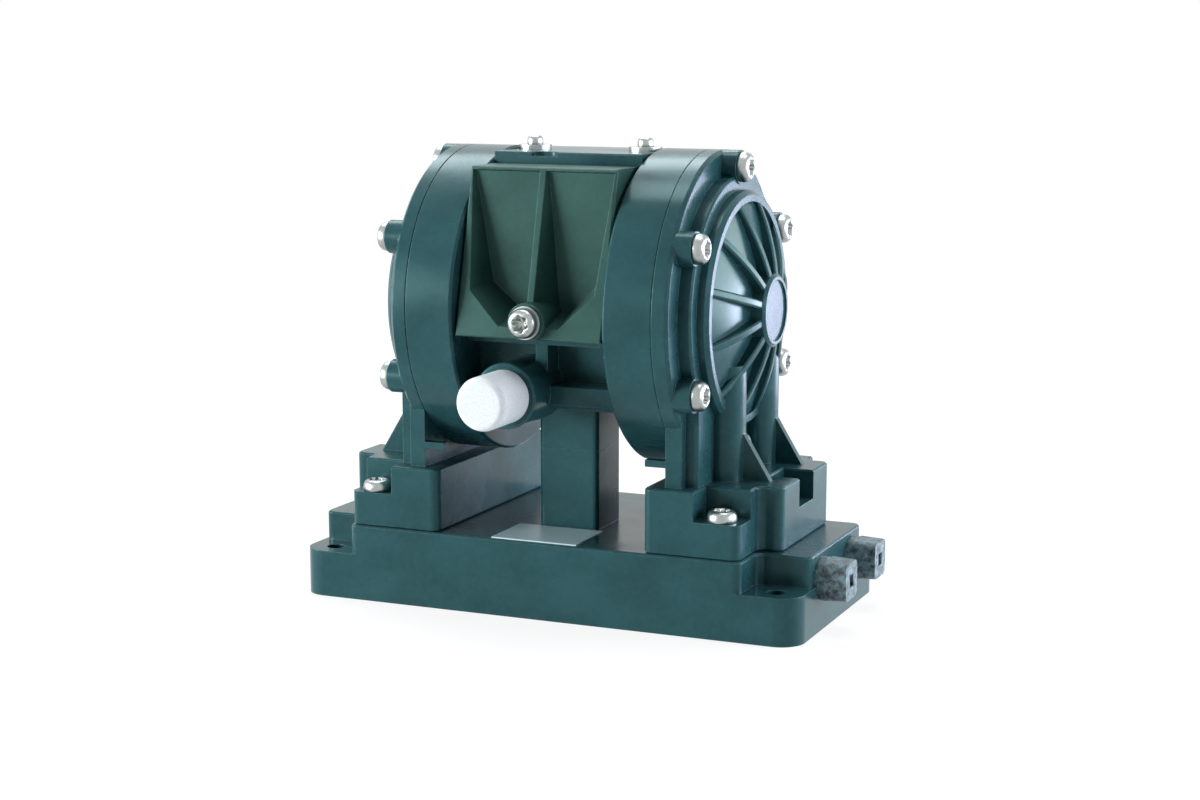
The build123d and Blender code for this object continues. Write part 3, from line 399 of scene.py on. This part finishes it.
def makeDiaphragmSector(side, sideName, sector):
    sizes = diaphragmSizes
    steps, waveFrom, waveTo = sizes["steps"], sizes["waveFrom"], sizes["waveTo"]
    span = 2 * math.pi / sizes["sectors"]
    start = sector * span
    waveMiddle, waveReach = (waveFrom + waveTo) / 2, (waveTo - waveFrom) / 2
    reaches = [sizes["hole"], *sizes["innerRings"], sizes["plate"]]
    reaches += [waveFrom + (waveTo - waveFrom) * i / sizes["waveSteps"] for i in range(sizes["waveSteps"] + 1)]
    reaches += [sizes["outerRing"], sizes["edge"]]
    shape = bmesh.new()
    grid = {}
    for i, reach in enumerate(reaches):
        dip = sizes["wave"] * max(0, 1 - ((reach - waveMiddle) / waveReach) ** 2)
        for j in range(steps + 1):
            turn = start + span * j / steps
            for skin in (0, 1):
                x = side * (sizes["face"] + (sizes["half"] if skin else -sizes["half"]) - dip)
                grid[i, j, skin] = shape.verts.new((x, reach * math.cos(turn), axisHeight + reach * math.sin(turn)))
    last = len(reaches) - 1
    for i in range(last):
        for j in range(steps):
            for skin in (0, 1):
                shape.faces.new([grid[i, j, skin], grid[i + 1, j, skin], grid[i + 1, j + 1, skin], grid[i, j + 1, skin]])
        for j in (0, steps):
            shape.faces.new([grid[i, j, 0], grid[i + 1, j, 0], grid[i + 1, j, 1], grid[i, j, 1]])
    for j in range(steps):
        for i in (0, last):
            shape.faces.new([grid[i, j, 0], grid[i, j + 1, 0], grid[i, j + 1, 1], grid[i, j, 1]])
    bmesh.ops.recalc_face_normals(shape, faces=shape.faces)
    mesh = toMesh(shape, "diaphragm sector")
    mesh.materials.append(finishes["diaphragm_rubber"])
    piece = addObject("flexing_diaphragm_" + sideName + "_" + str(sector + 1), mesh)
    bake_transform(piece)
    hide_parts("diaphragm_" + sideName)


# Springs: the one under each outlet ball, copied from its part with doubled points merged
springSizes = {"keep": 0.37, "mergeWithin": 0.000001}


def makeBallSpring(sideName):
    shape = bmesh.new()
    shape.from_mesh(frame["nodes"]["outlet_spring_" + sideName].data)
    bmesh.ops.remove_doubles(shape, verts=shape.verts, dist=springSizes["mergeWithin"])
    mesh = toMesh(shape, "ball spring")
    mesh.materials.append(steel)
    spring = addObject("ball_spring_" + sideName, mesh)
    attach(spring, "casing")
    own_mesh(spring)
    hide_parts("outlet_spring_" + sideName)


for side, sideName in ((1, "right"), (-1, "left")):
    for sector in range(diaphragmSizes["sectors"]):
        makeDiaphragmSector(side, sideName, sector)
    makeBallSpring(sideName)
print("diaphragms and springs made")

# Camera
view = {"place": (0.32187, -0.73655, 0.20532), "target": (0.001, 0, 0.0601), "lens": 66.35, "sensor": 36,
        "shiftX": 0.0063, "shiftY": 0.0268}
cameraData = bpy.data.cameras.new("camera")
cameraData.lens = view["lens"]
cameraData.sensor_width = view["sensor"]
cameraData.shift_x = view["shiftX"]
cameraData.shift_y = view["shiftY"]
camera = addObject("camera", cameraData)
aimAt(camera, view["place"], view["target"])
bpy.context.scene.camera = camera

# Floor: white, and a shade under white where the pump's shadow falls
studio = {"floorSize": 6.0, "floorDrop": 0.0001, "floorGrey": 0.8, "floorShade": 0.84, "shadowShare": 0.22,
          "clearFrom": 0.28, "clearTo": 0.6, "dim": 0.01, "dimTint": (0.9, 1.0, 1.0, 1), "lampAim": (0, 0, 0.08)}
paperWhite = (1, 1, 1, 1)
floorMesh = bpy.data.meshes.new("floor")
reach, level = studio["floorSize"], -studio["floorDrop"]
corners = [(x * reach, y * reach, level) for x, y in ((-1, -1), (1, -1), (1, 1), (-1, 1))]
floorMesh.from_pydata(corners, [], [(0, 1, 2, 3)])
floor = addObject("floor", floorMesh)
paper = bpy.data.materials.new("white paper, matt")
paper.use_nodes = True
tree = paper.node_tree
tree.nodes.clear()
path = addNode(tree, "ShaderNodeLightPath")
place = addNode(tree, "ShaderNodeTexCoord").outputs["Object"]
away = addNode(tree, "ShaderNodeVectorMath", {"operation": "LENGTH"}, {0: place})
clear = addNode(tree, "ShaderNodeMapRange", {
    "From Min": studio["clearFrom"], "From Max": studio["clearTo"], "To Min": studio["floorShade"], "To Max": 1.0},
    {"Value": away.outputs["Value"]})
lit = addNode(tree, "ShaderNodeBsdfDiffuse", {"Color": (studio["floorGrey"],) * 3 + (1,)})
faint = addNode(tree, "ShaderNodeBsdfDiffuse", {"Color": (studio["shadowShare"],) * 3 + (1,)})
glow = addNode(tree, "ShaderNodeEmission", {"Color": paperWhite}, {"Strength": clear.outputs["Result"]})
sheet = addNode(tree, "ShaderNodeAddShader", links={0: faint.outputs[0], 1: glow.outputs[0]})
bare = addNode(tree, "ShaderNodeEmission", {"Color": paperWhite, "Strength": 1.0})
mirrored = addNode(tree, "ShaderNodeMath", {"operation": "MAXIMUM"},
                   {0: path.outputs["Is Glossy Ray"], 1: path.outputs["Is Transmission Ray"]})
shiny = addNode(tree, "ShaderNodeMixShader", links={0: mirrored.outputs[0], 1: lit.outputs[0], 2: bare.outputs[0]})
blend = addNode(tree, "ShaderNodeMixShader", links={
    0: path.outputs["Is Camera Ray"], 1: shiny.outputs[0], 2: sheet.outputs[0]})
addNode(tree, "ShaderNodeOutputMaterial", links={"Surface": blend.outputs[0]})
floorMesh.materials.append(paper)

# Lamps: a low key from the front left, side boxes, a card at the right end and two strips above that draw the edges
lamps = {
    "front left key": {"place": (-1.0, -0.9, 0.26), "size": (0.6, 0.46), "power": 19, "colour": "#fbfeff"},
    "left side box": {"place": (-1.2, -0.45, 0.3), "size": (0.7, 0.6), "power": 6, "colour": "#f4fcff"},
    "right side box": {"place": (1.2, 0.15, 0.3), "size": (0.9, 0.5), "power": 11, "colour": "#f1f0ff"},
    "right rear box": {"place": (0.54, 0.35, 0.17), "size": (0.42, 0.3), "power": 2.3, "colour": "#f6fffb"},
    "right end card": {"place": (0.4, 0.45, 0.06), "size": (0.3, 0.12), "power": 1.8, "colour": "#dedaff"},
    "rear left strip": {"place": (-0.43, 0.52, 0.85), "size": (0.8, 0.3), "power": 4.5, "colour": "#eefaff"},
    "top strip": {"place": (0, 0.1, 1.1), "size": (0.8, 0.3), "power": 5, "colour": "#f4fcff"},
}
for name, lamp in lamps.items():
    data = bpy.data.lights.new(name, "AREA")
    data.shape = "RECTANGLE"
    data.size, data.size_y = lamp["size"]
    data.energy = lamp["power"]
    data.color = toLinear(lamp["colour"])[:3]
    aimAt(addObject(name, data), lamp["place"], studio["lampAim"])

# World: white to the eye and in reflections, nearly dark as a light
world = bpy.data.worlds.new("studio")
bpy.context.scene.world = world
world.use_nodes = True
tree = world.node_tree
tree.nodes.clear()
path = addNode(tree, "ShaderNodeLightPath")
direct = addNode(tree, "ShaderNodeMath", {"operation": "MAXIMUM"},
                 {0: path.outputs["Is Camera Ray"], 1: path.outputs["Is Transmission Ray"]})
shown = addNode(tree, "ShaderNodeMath", {"operation": "MAXIMUM"},
                {0: direct.outputs[0], 1: path.outputs["Is Glossy Ray"]})
dim = addNode(tree, "ShaderNodeBackground", {"Color": studio["dimTint"], "Strength": studio["dim"]})
white = addNode(tree, "ShaderNodeBackground", {"Color": paperWhite, "Strength": 1.0})
blend = addNode(tree, "ShaderNodeMixShader", links={0: shown.outputs[0], 1: dim.outputs[0], 2: white.outputs[0]})
addNode(tree, "ShaderNodeOutputWorld", links={"Surface": blend.outputs[0]})
bpy.context.scene.view_settings.view_transform = "Standard"
print("camera, floor and lamps set")
